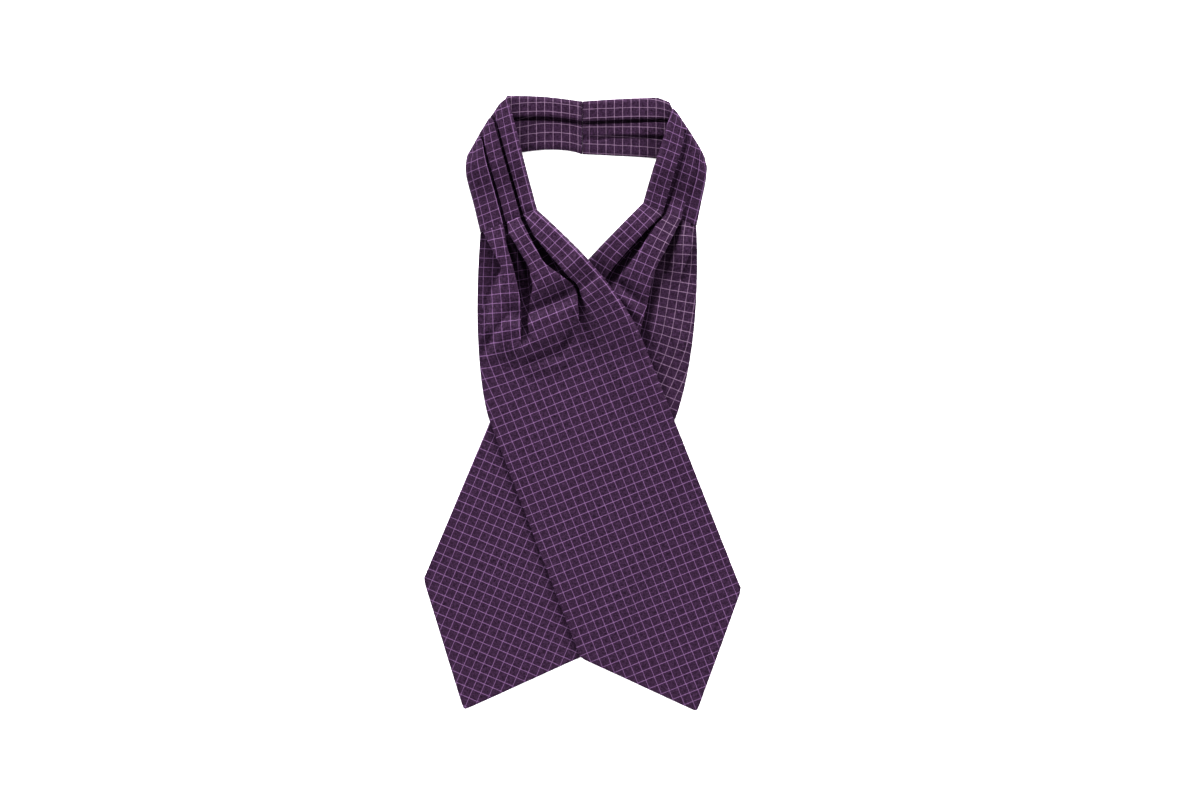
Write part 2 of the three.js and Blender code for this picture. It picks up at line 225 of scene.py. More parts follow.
# Laying: how the pieces climb over each other, fold over and are drawn down at the seam
LAYER_GAP = 1.4
SPARE_GAP = 0.7
NAPE_GAP = 0.3
BAND_LIFT = NAPE_PLEAT + WALL + NAPE_GAP
BAND_RAMP = 34
CROSSING_RAMP = 30
CROSSING_MARGIN = 9
PLEAT_MARGIN = 4
PLEAT_RAMP = 16
NAPE_MARGIN = 5
STRIP_FADE = 0.25
POINT_SLANT = 1.5
FOLD_RADIUS = 4.2
FOLD_TURN = math.pi * 0.8
FOLD_INSET = 7.6
FOLD_START = 0.75
TOP_PINCH = 0.4
OUTER_PINCH = 0.05
FOLD_TAPER = 9
OUTER_ROUND = 2.4
CORNER_REACH = 9
SEAM_DIP = 0.55
SEAM_REACH = 3.0
NAPE_END = 0.93

# Threads: the check lies straight on the cut cloth, and follows the edges and crests where it is pleated
THREADS = "threads"
CHECK_ACROSS = 7.7
CHECK_ALONG = 8.1
EDGE_FADE = (60, 156)
CREST_FADE = (20, 110)
JUMP_FADE = (34, 70)
JOIN_DISTANCE = 50
JOIN_SHARE = (0.05, 0.4)
THREAD_BLUR = (55, 115)
WIDEST_BLUR = 15
LEAST_BLUR = 0.3
PALE_X = (52, 74)
PALE_Y = (-40, 20)

# Silk: sizes in millimetres, shares of each part of the grain, and colours as they look on the screen
LINE_HALF = 0.34
LINE_SOFT = 0.16
LINE_WOBBLE = 0.25
WOBBLE_SCALE = 0.09
LENGTHWISE_LINE = 0.72
CROSSWISE_LINE = 0.85
LINE_GRAIN = 0.5
LINE_LEAST = 0.62
WEAVE = 1.1
WEAVE_SHARE = 0.2
SLUB = (0.7, 3.6)
SLUB_FADE = (0.32, 0.68)
SLUB_SHARE = 0.36
SPECKLE = 1.7
SPECKLE_FADE = (0.34, 0.66)
SPECKLE_SHARE = 0.28
PATCH = 60
PATCH_FADE = (0.3, 0.7)
PATCH_SHARE = 0.25
PALE_SHARE = 0.8
GROUND_DARK = (21, 13, 22)
GROUND_LIGHT = (61, 44, 64)
GROUND_WARM = (44, 29, 45)
LINE_COLOUR = (97, 75, 103)
PALE_LINE = (105, 90, 104)
BRIGHTEST = 255
ROUGHNESS = 0.6
GRAIN_SMOOTHING = -0.08
SILK_SPECULAR = 0.02
RELIEF_SHARE = 0.5
BUMP_STRENGTH = 0.25
BUMP_DEPTH = 0.1

# Sheets: the flat cut of what shows, in metres and square metres, and what each piece rests on
SHEETS = {
    "under_blade": {"flat": (0.153, 0.465), "area": 0.0643, "rests_on": []},
    "over_blade": {"flat": (0.152, 0.455), "area": 0.063, "rests_on": ["under_blade_silk"]},
    "over_band": {"flat": (0.062, 0.12), "area": None, "rests_on": ["left_nape_silk"]},
    "under_band": {"flat": (0.055, 0.11), "area": None, "rests_on": ["right_nape_silk"]},
    "left_nape": {"flat": (0.056, 0.095), "area": None, "rests_on": []},
    "right_nape": {"flat": (0.056, 0.1), "area": None, "rests_on": []},
}

# Photograph: the frame's size, the middle of the cravat in it and the size of a pixel
FRAME_PIXELS = (1200, 800)
MIDDLE_PIXEL = (582.5, 403.5)
PIXEL = 0.867

# Studio, in metres: the camera, the paper floor, one lamp and a ring of light that leans to +Y
CAMERA_HEIGHT = 2.4
SENSOR_MM = 36.0
FLOOR_Z = -0.0002
FLOOR_HALF = 6.0
PAPER_COLOUR = (0.9, 0.9, 0.9, 1)
PAPER_ROUGHNESS = 0.9
PAPER_SPECULAR = 0.1
KEY_PLACE = (0.1, 1.7, 1.0)
KEY_SIZE = 0.8
KEY_WATTS = 11
RING = 9.0
RING_FOOT = (0.05, 0.2)
RING_TOP = (0.65, 0.4)
RING_LEAN = 0.55

# Sockets of Blender's Mix node when it mixes colours
MIX_INPUTS = (0, 6, 7)
MIX_RESULT = 2


def mix(a, b, share):
    """From a at share 0 to b at share 1."""
    return a + (b - a) * share


def ease(value, low, high):
    """From 0 at low to 1 at high, level at both ends."""
    share = np.clip((value - low) / (high - low), 0, 1)
    return share * share * (3 - 2 * share)


def smooth(values, share):
    """A smooth value or place through a list at equal steps from share 0 to share 1."""
    values = np.asarray(values, float)
    place = np.clip(share, 0, 1) * (len(values) - 1)
    knot = np.minimum(place.astype(int), len(values) - 2)
    t = (place - knot).reshape(place.shape + (1,) * (values.ndim - 1))
    before, start, end, after = (values[np.clip(knot + step, 0, len(values) - 1)] for step in (-1, 0, 1, 2))
    leave = (end - before) / 2
    arrive = (after - start) / 2
    cubic = 2 * (start - end) + leave + arrive
    square = 3 * (end - start) - 2 * leave - arrive
    return ((cubic * t + square) * t + leave) * t + start


def unit(vectors):
    """The same directions, one long."""
    return vectors / np.linalg.norm(vectors, axis=-1, keepdims=True)


def lengths_along(line):
    """The length from the start of a line to each of its places."""
    return np.concatenate(([0], np.cumsum(np.hypot(*np.diff(line, axis=0).T))))


def run(start, end, columns):
    """Columns of places from start up to, but not including, end. One row for each start."""
    return mix(start[:, None], end[:, None], np.arange(columns) / columns)


def strip_height(strip, share):
    """Height of a raised strip, drawn down where it is tacked at its start."""
    height = np.where(share <= 1, np.maximum(0, smooth(strip["height"], share)), 0)
    from_tack = share * strip.get("run", strip["length"])
    return height * (1 - strip.get("tack", 0) * np.exp(-(from_tack / TACK_REACH) ** 2))


def pleat_at(pleat, distance):
    """A crest's place and height, the head of its raised strip and its shoulder at each distance.

    The strip lies to the left of its crest. Its level top starts at the head, after the shoulder's slope.
    """
    share = distance / pleat["length"]
    crest = smooth(pleat["crest"], share) * pleat.get("scale", 1)
    shoulder = smooth(pleat["shoulder"], share)
    return crest, strip_height(pleat, share), smooth(pleat["head"], share), shoulder


def bulge(height):
    """How far a crest of this height stands out over the strip beside it."""
    return np.minimum(height * BULGE_SHARE, LAP_BULGE)


def lap_points(height, shares):
    """Over a crest, back under it and forward again, or a plain step where it is low."""
    lapped = ease(height, STEP_FOLD, LAPPED_FOLD)
    across = []
    heights = []
    for i, step in enumerate(STEP_SHAPE):
        lap = LAPPED_SHAPE[i] + LAPPED_TURNS[i] * bulge(height)
        across.append(mix(step, lap, lapped))
        heights.append(height * mix(STEP_HEIGHTS[i], LAPPED_HEIGHTS[i], lapped))
    return smooth(across, shares).T, smooth(heights, shares).T


def rise_points(foot, top, height):
    """Up to a raised strip along two arcs, one turned against the other."""
    wide = (top - foot)[:, None]
    high = np.maximum(height, LOWEST_RISE)[:, None]
    radius = (wide ** 2 + high ** 2) / (4 * high)
    turn = 2 * np.arctan(high / wide)
    share = np.arange(SLOPE_COLUMNS) / SLOPE_COLUMNS
    angle = 2 * turn * np.minimum(share, 1 - share)
    along = radius * np.sin(angle)
    up = radius * (1 - np.cos(angle))
    lower = share < 0.5
    return foot[:, None] + np.where(lower, along, wide - along), np.where(lower, up, high - up)


def foot_and_top(start, clear, head, far, shoulder):
    """Where the slope up to a raised strip starts and ends."""
    foot = np.minimum(np.maximum(head - shoulder, clear), mix(start, far, FOOT_LIMIT))
    top = np.minimum(np.maximum(head, foot + SHORTEST_SHOULDER), mix(foot, far, HEAD_LIMIT))
    return foot, top


def rolled_strip(start, far, height):
    """A strip whose edge rolls straight up to its level top."""
    columns = LOW_COLUMNS + SLOPE_COLUMNS
    turn = np.arange(columns) / columns * math.pi / 2
    top = np.minimum(start + EDGE_ROLL, mix(start, far, FOOT_LIMIT))
    across = np.hstack((mix(start[:, None], top[:, None], 1 - np.cos(turn)), run(top, far, LEVEL_COLUMNS)))
    level = np.repeat(height[:, None], LEVEL_COLUMNS, 1)
    return across, np.hstack((height[:, None] * np.sin(turn), level))


def raised_strip(start, foot, top, far, height, tucked):
    """Low cloth, the rise and the level top. Tucked low cloth comes out from under the rise."""
    rise, rise_heights = rise_points(foot, top, height)
    lap, lap_heights = lap_points(height, 1 - np.arange(SLOPE_COLUMNS) / SLOPE_COLUMNS)
    tucked = tucked[:, None]
    rise = mix(rise, top[:, None] - TUCK * lap, tucked)
    rise_heights = mix(rise_heights, lap_heights, tucked)
    across = np.hstack((run(start, rise[:, 0], LOW_COLUMNS), rise, run(top, far, LEVEL_COLUMNS)))
    level = np.repeat(height[:, None], LEVEL_COLUMNS, 1)
    return across, np.hstack((np.zeros((len(start), LOW_COLUMNS)), rise_heights, level))


def tucked_in(strip, distance):
    """How far the low cloth beside a strip is tucked under it, from 0 to 1."""
    return 1 - ease(distance, *strip["tuck"]) if "tuck" in strip else np.zeros(len(distance))


def section(cloth, distance):
    """Cross-sections at these distances: places across, heights, and the part of the cloth in each column.

    Low cloth has even parts and raised strips have odd ones, counted from the left.
    """
    left, right = cloth["edges"](distance)
    across, heights, parts = [], [], []
    start = left
    clear = left + WALL
    for number, pleat in enumerate(cloth["pleats"]):
        crest, height, head, shoulder = pleat_at(pleat, distance)
        foot, top = foot_and_top(start, clear, head, crest, shoulder)
        rolled = number == 0 and cloth["rolled"]
        if rolled:
            strip, strip_heights = rolled_strip(start, crest, height)
        else:
            strip, strip_heights = raised_strip(start, foot, top, crest, height, tucked_in(pleat, distance))
        lap, lap_heights = lap_points(height, np.arange(LAP_COLUMNS) / LAP_COLUMNS)
        across += [strip, crest[:, None] + lap]
        heights += [strip_heights, lap_heights]
        low = 2 * number
        over_crest = LAP_COLUMNS // 2
        parts += [low + rolled] * LOW_COLUMNS + [low + 1] * (SLOPE_COLUMNS + LEVEL_COLUMNS + over_crest)
        parts += [low + 2] * (LAP_COLUMNS - over_crest)
        start = crest + lap_points(height, np.ones(1))[0][:, 0]
        clear = np.maximum(start, crest + bulge(height)) + GROOVE
    strip = cloth["strip"]
    share = distance / strip["length"]
    height = strip_height(strip, share)
    head = right - smooth(strip["width"], share)
    foot, top = foot_and_top(start, clear, head, right, smooth(strip["shoulder"], share))
    roll = np.maximum(right - EDGE_ROLL, mix(top, right, FOOT_LIMIT))
    places, place_heights = raised_strip(start, foot, top, roll, height, tucked_in(strip, distance))
    falling = np.linspace(0, 1, ROLL_COLUMNS)
    across += [places, mix(roll[:, None], right[:, None], falling)]
    heights += [place_heights, height[:, None] * (1 - falling ** 2)]
    low = 2 * len(cloth["pleats"])
    parts += [low] * LOW_COLUMNS + [low + 1] * (SLOPE_COLUMNS + LEVEL_COLUMNS + ROLL_COLUMNS)
    return np.hstack(across), np.hstack(heights), np.array(parts)


def column_before(values):
    """Each column's value taken from the column to its left."""
    return np.concatenate((values[:1], values[:-1]))


def blade_place(blade, distance, offset):
    """Where a distance from the band and an offset across come to on the floor."""
    lean = math.radians(blade["lean"])
    x = blade["sewn"][0] + math.sin(lean) * distance + math.cos(lean) * offset
    y = blade["sewn"][1] - math.cos(lean) * distance + math.sin(lean) * offset
    return x, y


def blade_edge(edge, distance):
    """A blade's edge spreads out as it leaves the band, and then flares evenly to its corner."""
    fan = 1 - (1 - np.clip(distance / edge["release"], 0, 1)) ** edge["ease"]
    flare = np.clip((distance - edge["release"]) / (edge["length"] - edge["release"]), 0, 1)
    return mix(mix(edge["band"], edge["spread"], fan), edge["corner"], flare)


def blade_edges(blade, distance):
    """Both edges of a blade."""
    return blade_edge(blade["left"], distance), blade_edge(blade["right"], distance)


def blade_end(blade, offset):
    """The distance at which the pointed end, with its tip and corners a little rounded, cuts a line."""
    corner = np.where(offset < 0, blade["left"]["corner"], blade["right"]["corner"])
    length = np.where(offset < 0, blade["left"]["length"], blade["right"]["length"])
    share = np.hypot(np.clip(offset / corner, 0, 1), TIP_ROUND)
    past = np.maximum(share - CORNER_START, 0) / (1 - CORNER_START)
    return mix(blade["tip"], length, share + CORNER_CUT * past ** 2)


def thread_line(part, distance):
    """The line that the threads of a pleat or gore follow."""
    return smooth(part["threads"], distance / part["length"])


def blade_cloth(blade, pleats, strip, creases, rolled, gore=None):
    """All that the cross-sections and the threads of a blade are made from."""
    right_threads = partial(thread_line, gore) if gore else partial(blade_edge, blade["right"])
    return {
        "blade": blade, "pleats": pleats, "strip": strip, "creases": creases, "rolled": rolled,
        "right_threads": right_threads, "edges": partial(blade_edges, blade),
    }


def crease_relief(creases, distance, offset):
    """Height of the soft ridges and troughs at each place on a blade, fading at their ends."""
    relief = np.zeros(distance.shape)
    shares = np.linspace(0, 1, CREASE_SAMPLES)
    for crease in creases:
        away = np.full(distance.shape, np.inf)
        nearest = np.zeros(distance.shape)
        for share, (along, across) in zip(shares, smooth(crease["line"], shares)):
            reach = np.hypot(distance - along, offset - across)
            nearest = np.where(reach < away, share, nearest)
            away = np.minimum(away, reach)
        fade = ease(nearest, *CREASE_FADE) * ease(1 - nearest, *CREASE_FADE)
        relief += crease["height"] * fade * np.exp(-(away / crease["reach"]) ** 2)
    return relief


def blur_rows(values, widths):
    """Each row blurred across its columns by its own width, in columns."""
    place = np.arange(values.shape[1])
    out = values.copy()
    for i, width in enumerate(widths):
        if width < LEAST_BLUR:
            continue
        weights = np.exp(-((place[:, None] - place[None, :]) / width) ** 2)
        out[i] = weights @ values[i] / weights.sum(1)
    return out


def guide_threads(guide, fade, distance, across):
    """Thread coordinates that follow a guide line, for cloth at (distance, across)."""
    middle = np.array([(fade[0] + fade[1]) / 2])
    line = guide(FAN)
    slope = np.gradient(line, FAN)
    length = np.concatenate(([0], np.cumsum(np.hypot(1, (slope[1:] + slope[:-1]) / 2) * np.diff(FAN))))
    along = np.interp(distance, FAN, length) - np.interp(middle, FAN, length) + middle
    lean = np.arctan(np.interp(distance, FAN, slope))
    away = across - np.interp(distance, FAN, line)
    keep = 1 - ease(distance, *fade)
    u = guide(middle)[0] + away * np.cos(lean)
    v = along + away * np.sin(lean)
    return mix(across, u, keep), mix(distance, v, keep)


def joined_threads(outer, inner, distance, parts):
    """The outer gore's threads, moved to meet those of the strip beside it at JOIN_DISTANCE from the band."""
    row = np.abs(distance[:, 0] - JOIN_DISTANCE).argmin()
    column = np.argmax(parts > 0)
    keep = 1 - ease(distance, *EDGE_FADE)[..., None]
    return outer + (inner - outer)[row, column] * keep


def blade_guides(cloth):
    """The line that the threads of each part follow, with the stretch in which they leave it.

    The strip of a pleat with_gore leaves its line together with the gore at its left.
    """
    guides = [(partial(blade_edge, cloth["blade"]["left"]), EDGE_FADE)]
    for pleat in cloth["pleats"]:
        if "threads" in pleat:
            line = partial(thread_line, pleat)
            guides.append((line, EDGE_FADE if pleat.get("with_gore") else CREST_FADE))
            guides.append((line, CREST_FADE))
    right_edge = (cloth["right_threads"], EDGE_FADE)
    missing = 2 * len(cloth["pleats"]) + 2 - len(guides)
    if missing > 1:
        guides[-1] = right_edge
    return guides + [right_edge] * missing


def blade_threads(cloth, distance, across, parts):
    """Thread coordinates of every column, and those it would have as the end of the column before."""
    sets = [np.stack(guide_threads(guide, fade, distance, across), -1) for guide, fade in blade_guides(cloth)]
    sets[0] = joined_threads(sets[0], sets[1], distance, parts)
    own = np.stack([sets[part][:, j] for j, part in enumerate(parts)], 1)
    ended = np.stack([sets[part][:, j] for j, part in enumerate(column_before(parts))], 1)
    flat = np.stack((across, distance), -1)
    widths = WIDEST_BLUR * ease(distance[:, 0], *THREAD_BLUR)
    soft = np.stack([flat[..., k] + blur_rows((own - flat)[..., k], widths) for k in range(2)], -1)
    jump = (ended - own) * (1 - ease(distance[:, :1], *JUMP_FADE))[..., None]
    return soft, soft + jump


def blade_grid(cloth, lift):
    """A blade's middle surface and its threads: rows across the fan, then easing into the pointed end."""
    blade = cloth["blade"]
    fan = np.arange(SEAM_GAP, FAN_END, FAN_STEP)
    distance = np.concatenate((fan, np.full(FLAT_ROWS + 1, float(FAN_END))))
    to_end = np.concatenate((np.zeros(len(fan)), np.linspace(0, 1, FLAT_ROWS + 1)))[:, None]
    across, height, parts = section(cloth, distance)
    height = height * (1 - ease(to_end, 0, STRIP_FADE))
    column = np.linspace(-1, 1, across.shape[1])
    even = np.abs(column) * np.where(column < 0, blade["left"]["corner"], blade["right"]["corner"])
    across = mix(across, even, to_end)
    reached = mix(distance[:, None], blade_end(blade, across), to_end)
    x, y = blade_place(blade, reached, across)
    laid = lift(x, y)
    relief = height + crease_relief(cloth["creases"], reached, across)
    relief = np.maximum(-np.minimum(laid, SPARE_GAP), relief)
    points = np.stack((x, y, WALL / 2 + laid + relief), -1)
    return points, *blade_threads(cloth, reached, across, parts)


def no_lift(x, y):
    """Cloth that lies on the floor."""
    return np.zeros(x.shape)


def lift_over(cloth):
    """How high the upper blade has to lie at a place, to clear the lower blade and its pleats."""
    blade = cloth["blade"]
    lean = math.radians(blade["lean"])

    def lift(x, y):
        away_x = x - blade["sewn"][0]
        away_y = y - blade["sewn"][1]
        distance = away_x * math.sin(lean) - away_y * math.cos(lean)
        offset = away_x * math.cos(lean) + away_y * math.sin(lean)
        left, right = cloth["edges"](distance)
        before_end = (blade_end(blade, offset) - distance) / POINT_SLANT
        inside = np.minimum.reduce([offset - left, right - offset, before_end, distance + BAND_RAMP])
        near = ease(inside, -CROSSING_MARGIN - CROSSING_RAMP, -CROSSING_MARGIN)
        pleated = 0
        for pleat in cloth["pleats"]:
            crest, height, head, shoulder = pleat_at(pleat, np.maximum(distance, 0))
            beyond = np.maximum(head - shoulder - offset, offset - crest)
            raised = height * (1 - ease(beyond, PLEAT_MARGIN, PLEAT_MARGIN + PLEAT_RAMP))
            pleated = np.maximum(pleated, raised)
        return (WALL + LAYER_GAP + pleated) * near

    return lift


def lift_onto(nape):
    """The climb of a band onto the stretch at the nape, from that stretch's lower edge."""
    lower = smooth(nape["right"], np.linspace(0, 1, RAIL_SAMPLES))

    def lift(x, y):
        away = np.hypot(x[..., None] - lower[:, 0], y[..., None] - lower[:, 1])
        nearest = away.argmin(-1)
        outside = np.where(lower[nearest, 1] > y, away.min(-1), 0)
        return BAND_LIFT * ease(BAND_RAMP - outside, 0, BAND_RAMP - NAPE_MARGIN)

    return lift


def stretch_cloth(stretch, width, run_length):
    """All that the cross-sections of a neckband stretch are made from."""
    strip = {"length": 1, "run": run_length, "head": (0, 0), "width": (WHOLE_STRIP,) * 2,
             "shoulder": (STRETCH_SHOULDER,) * 2}

    def edges(share):
        return np.zeros(len(share)), width

    return {
        "edges": edges, "rolled": True,
        "pleats": [dict(strip, scale=width, **pleat) for pleat in stretch["pleats"]],
        "strip": dict(strip, height=stretch["last_strip"], tack=stretch["last_tack"]),
    }


def stretch_grid(stretch, shares, lift, starts):
    """A stretch between two rails and its threads, which start at these places in each of its strips."""
    left = smooth(stretch["left"], shares)
    right = smooth(stretch["right"], shares)
    width = np.hypot(*(right - left).T)
    cloth = stretch_cloth(stretch, width, lengths_along(right)[-1])
    across, height, parts = section(cloth, shares)
    share_across = across / width[:, None]
    x = mix(left[:, :1], right[:, :1], share_across)
    y = mix(left[:, 1:], right[:, 1:], share_across)
    points = np.stack((x, y, WALL / 2 + lift(x, y) + height), -1)
    guides = [pleat_at(pleat, shares)[0] for pleat in cloth["pleats"]] + [width]
    lines = strip_lines(guides, starts, shares, stretch["pleats"][-1].get("joins"))
    length = mix(lengths_along(left)[:, None], lengths_along(right)[:, None], share_across)
    return points, *stretch_threads(length * stretch["threads_close"], across, parts // 2, lines)


def strip_lines(guides, starts, shares, joins):
    """Where each strip's threads start in every row. A last strip that joins runs on from the one before."""
    lines = []
    for guide, (u, v) in zip(guides, starts):
        lines.append(np.stack((u - guide, np.full(len(guide), v)), -1))
    if joins:
        pitch = np.array((CHECK_ACROSS, CHECK_ALONG))
        apart = lines[-2] - lines[-1]
        shift = apart - np.round(apart[0] / pitch) * pitch
        lines[-1] = lines[-1] + shift * ease(shares, *JOIN_SHARE)[:, None]
    return np.stack(lines, 1)


def stretch_threads(length, across, strips, lines):
    """Threads that run along each strip's line, and square to it."""
    cloth = np.stack((across, -length), -1)
    return lines[:, strips] + cloth, lines[:, column_before(strips)] + cloth


def roll_over(points, own, ended, band):
    """The band's rows bow out to the diagonal fold, with round corners, and more rows roll down over it.

    The column at top_end is the one at the fold's corner nearest to +Y.
    """
    line = unit(points[-1, -1, :2] - points[-1, 0, :2])
    away = np.array((-line[1], line[0], 0))
    share = np.linspace(0, 1, points.shape[1])[None, :, None]
    climb = np.linspace(0, 1, len(points))[:, None, None]
    from_top = np.hypot(*(points[-1, :, :2] - points[-1, band["top_end"], :2]).T)
    from_outer = from_top.max() - from_top
    pinch = mix(TOP_PINCH, 1, ease(from_top, 0, FOLD_TAPER))
    pinch = np.minimum(pinch, mix(OUTER_PINCH, 1, ease(from_outer, 0, FOLD_TAPER)))
    spare_height = points[-1, :, 2] - WALL / 2
    radius = np.minimum(FOLD_RADIUS * pinch, spare_height / (1 - math.cos(FOLD_TURN)))
    rounding = band["top_round"] * (1 - ease(from_top, 0, CORNER_REACH))
    rounding = rounding + OUTER_ROUND * (1 - ease(from_outer, 0, CORNER_REACH))
    reach = (FOLD_RADIUS - radius - rounding)[None, :, None]
    bow = band["fold_bow"] * 4 * share * (1 - share) * climb ** 2
    points = points + away * (bow + reach * ease(climb, FOLD_START, 1))
    last = points[-1]
    radius = radius[:, None]
    lengthwise = unit(last - points[-2])
    square = np.stack((lengthwise[:, 1], -lengthwise[:, 0]), -1)
    u_per_roll = (square @ away[:2] / (square @ line))[:, None]
    v_per_roll = -(lengthwise @ away)[:, None]
    rows, turned = [], []
    for angle in np.linspace(0, FOLD_TURN, FOLD_ROWS + 1)[1:]:
        down = np.array((0, 0, -1)) * radius * (1 - math.cos(angle))
        rows.append(last + away * radius * math.sin(angle) + down)
        turned.append(np.hstack((u_per_roll, v_per_roll)) * radius * angle)
    rolled = np.concatenate((points, rows))
    return rolled, *(np.concatenate((threads, threads[-1] + np.array(turned))) for threads in (own, ended))


def band_grid(band, blade, nape, starts):
    """A band from the sewn end of its blade up to the diagonal fold."""
    rails = {side: [blade_place(blade, 0, blade[side]["band"])] + band[side] for side in ("left", "right")}
    samples = np.linspace(0, 1, RAIL_SAMPLES)
    longest = max(lengths_along(smooth(rail, samples))[-1] for rail in rails.values())
    shares = np.linspace(0, 1 - FOLD_INSET / longest, round(longest / STRETCH_STEP))
    stretch = {**band, **rails}
    return roll_over(*stretch_grid(stretch, shares, lift_onto(nape), starts), band)


def nape_grid(nape):
    """A stretch at the nape, drawn down at the seam in its middle."""
    shares = np.linspace(0, NAPE_END, NAPE_ROWS)
    points, own, ended = stretch_grid(nape, shares, no_lift, nape["starts"])
    pressed = 1 - SEAM_DIP * np.exp(-(points[..., 0] / SEAM_REACH) ** 2)
    points[..., 2] = WALL / 2 + (points[..., 2] - WALL / 2) * pressed
    return points, own, ended


def strip_starts(cloth):
    """Where the threads along each crest, and along the right edge, reach the band."""
    guides = [(partial(thread_line, pleat), CREST_FADE) for pleat in cloth["pleats"] if "threads" in pleat]
    guides.append((cloth["right_threads"], EDGE_FADE))
    zero = np.zeros((1, 1))
    starts = []
    for guide, fade in guides:
        u, v = guide_threads(guide, fade, zero, guide(zero))
        starts.append((u.item(), v.item()))
    return starts


def perimeter(rows, columns):
    """Row and column of each place round a grid, clockwise from its first corner."""
    i = np.concatenate((np.zeros(columns), np.arange(1, rows), np.full(columns - 1, rows - 1),
                        np.arange(rows - 2, 0, -1)))
    j = np.concatenate((np.arange(columns), np.full(rows - 1, columns - 1), np.arange(columns - 2, -1, -1),
                        np.zeros(rows - 2)))
    return i.astype(int), j.astype(int)


def wall_vertices(points, i, j):
    """Both faces of a wall and the loops round its rim, which is round but for the sewn first row."""
    rows, columns = points.shape[:2]
    lengthwise = np.gradient(points, axis=0)
    crosswise = np.gradient(points, axis=1)
    normal = unit(np.cross(lengthwise, crosswise))
    facing_down = normal[..., 2].mean() < 0
    if facing_down:
        normal = -normal
    over_side = np.where(j == 0, -1, np.where(j == columns - 1, 1, 0))[:, None]
    over_end = np.where(i == 0, -1, np.where(i == rows - 1, 1, 0))[:, None]
    outward = unit(over_side * unit(crosswise[i, j]) + over_end * unit(lengthwise[i, j]))
    outward = np.where((i == 0)[:, None], 0, outward)
    loops = []
    for turn in np.linspace(0, math.pi, RIM_LOOPS + 2)[1:-1]:
        rim = normal[i, j] * math.cos(turn) + outward * math.sin(turn)
        loops.append(points[i, j] + rim * WALL / 2)
    layers = [points + normal * WALL / 2, points - normal * WALL / 2]
    vertices = np.concatenate([layer.reshape(-1, 3) for layer in layers] + loops)
    vertices[:, 2] = np.maximum(0, vertices[:, 2])
    return vertices, facing_down


def wall_faces(own, ended, i, j):
    """The wall's faces, with the threads at their corners."""
    rows, columns = own.shape[:2]
    count = rows * columns
    index = np.arange(count).reshape(rows, columns)
    top = np.stack((index[:-1, :-1], index[1:, :-1], index[1:, 1:], index[:-1, 1:]), -1).reshape(-1, 4)
    threads = np.stack((own[:-1, :-1], own[1:, :-1], ended[1:, 1:], ended[:-1, 1:]), 2).reshape(-1, 4, 2)
    edge = index[i, j]
    loop = np.arange(len(edge))
    rings = [edge] + [2 * count + k * len(edge) + loop for k in range(RIM_LOOPS)] + [count + edge]
    after = np.roll(loop, -1)
    rim_faces = [np.stack((a, a[after], b[after], b), -1) for a, b in zip(rings, rings[1:])]
    at_rim = own[i, j]
    rim_threads = np.stack((at_rim, at_rim[after], at_rim[after], at_rim), 1)
    faces = np.concatenate([top, (top + count)[:, ::-1]] + rim_faces)
    corners = np.concatenate([threads, threads[:, ::-1]] + [rim_threads] * len(rim_faces))
    return faces, corners


def wall_object(name, points, own, ended, pale):
    """A closed wall round a grid of middle points, with its threads at the corners of its faces."""
    i, j = perimeter(*points.shape[:2])
    vertices, facing_down = wall_vertices(points, i, j)
    faces, corners = wall_faces(own, ended, i, j)
    if facing_down:
        faces = faces[:, ::-1]
        corners = corners[:, ::-1]
    mesh = bpy.data.meshes.new(name)
    mesh.from_pydata((vertices * MM).tolist(), [], faces.tolist())
    mesh.polygons.foreach_set("use_smooth", np.ones(len(faces), bool))
    attribute = mesh.attributes.new(THREADS, "FLOAT_VECTOR", "CORNER")
    paleness = pale(vertices[faces.ravel()])[:, None]
    vectors = np.concatenate((corners.reshape(-1, 2), paleness), 1)
    attribute.data.foreach_set("vector", vectors.astype(np.float32).ravel())
    mesh.update()
    made = bpy.data.objects.new(name, mesh)
    bpy.context.scene.collection.objects.link(made)
    return made


class Nodes:
    """Short ways to add and link the nodes of a material or a world."""

    def __init__(self, owner):
        self.tree = owner.node_tree

    def add(self, kind, inputs=(), **settings):
        node = self.tree.nodes.new(kind)
        for key, value in settings.items():
            setattr(node, key, value)
        for socket, value in dict(inputs).items():
            self.set(node.inputs[socket], value)
        return node

    def set(self, socket, value):
        if isinstance(value, bpy.types.NodeSocket):
            self.tree.links.new(value, socket)
        else:
            socket.default_value = value

    def math(self, operation, *values):
        node = self.add("ShaderNodeMath", operation=operation)
        for socket, value in zip(node.inputs, values):
            self.set(socket, value)
        return node.outputs[0]

    def fade(self, value, low, high):
        node = self.add("ShaderNodeMapRange", {"Value": value, "From Min": low, "From Max": high},
                        interpolation_type="SMOOTHSTEP")
        return node.outputs[0]

    def noise(self, vector, scale, detail):
        node = self.add("ShaderNodeTexNoise", {"Vector": vector, "Scale": scale, "Detail": detail})
        return node.outputs["Fac"]

    def mix_colour(self, share, a, b):
        node = self.add("ShaderNodeMix", zip(MIX_INPUTS, (share, a, b)), data_type="RGBA")
        return node.outputs[MIX_RESULT]


def linear(screen):
    """A colour as it looks on the screen, turned into the light it stands for."""
    colour = Color([value / BRIGHTEST for value in screen])
    return *colour.from_srgb_to_scene_linear(), 1


